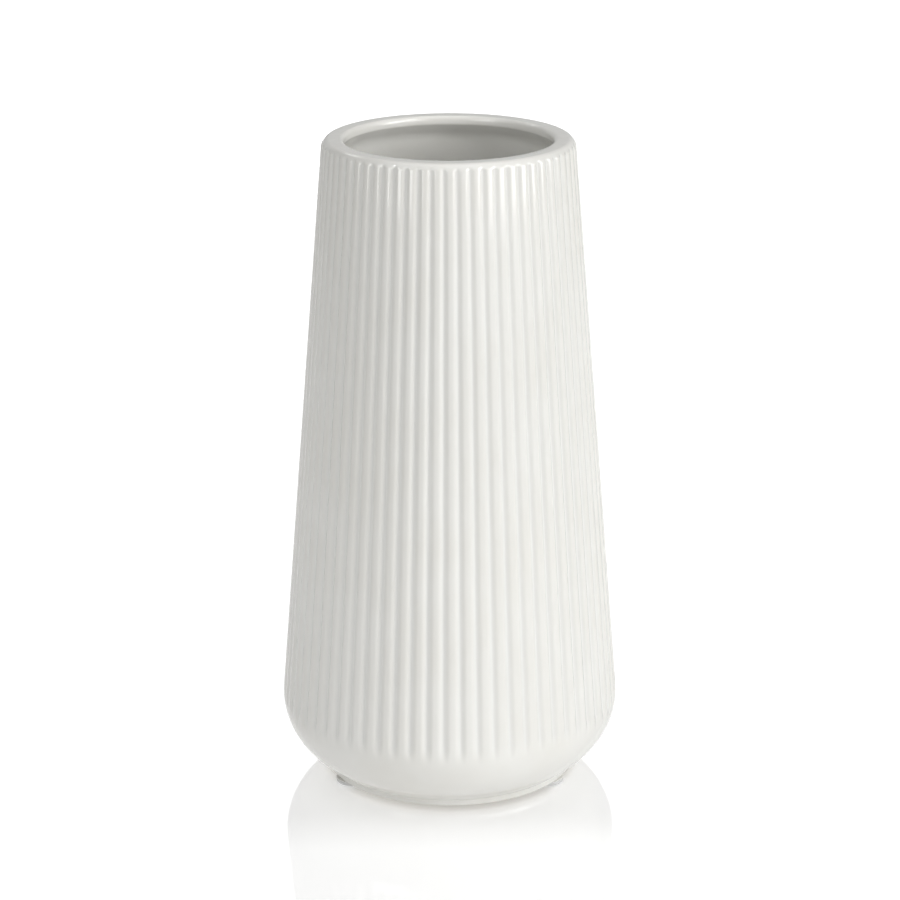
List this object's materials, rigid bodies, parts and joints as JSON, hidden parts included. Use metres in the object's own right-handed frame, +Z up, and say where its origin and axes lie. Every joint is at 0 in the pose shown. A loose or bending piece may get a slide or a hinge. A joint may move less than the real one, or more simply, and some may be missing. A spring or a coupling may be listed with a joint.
{
  "type": "ceramic bud vase",
  "caption": "Tall tapering ceramic vase with fine vertical flutes, a rounded shoulder near the foot, a rolled lip and clear bumper pads under its foot ring.",
  "frame": {"origin": "on the vase's axis, at the height of the surface that the bumper pads stand on", "axes": "+Z up along the vase's axis; the front of the vase faces -Y, with one bumper pad to each side of it and the third at the back"},
  "size_m": [0.1068, 0.1068, 0.2045],
  "materials": {
    "white_glaze": "satin-gloss white glaze on slip-cast stoneware",
    "clear_bumper": "clear soft polyurethane",
    "adhesive_film": "clear pressure-sensitive adhesive"
  },
  "bodies": {
    "root": {"vase_body": "white_glaze", "foot_pad_right": "clear_bumper", "foot_pad_back": "clear_bumper", "foot_pad_left": "clear_bumper", "pad_adhesive_right": "adhesive_film", "pad_adhesive_back": "adhesive_film", "pad_adhesive_left": "adhesive_film"}
  },
  "joints": []
}
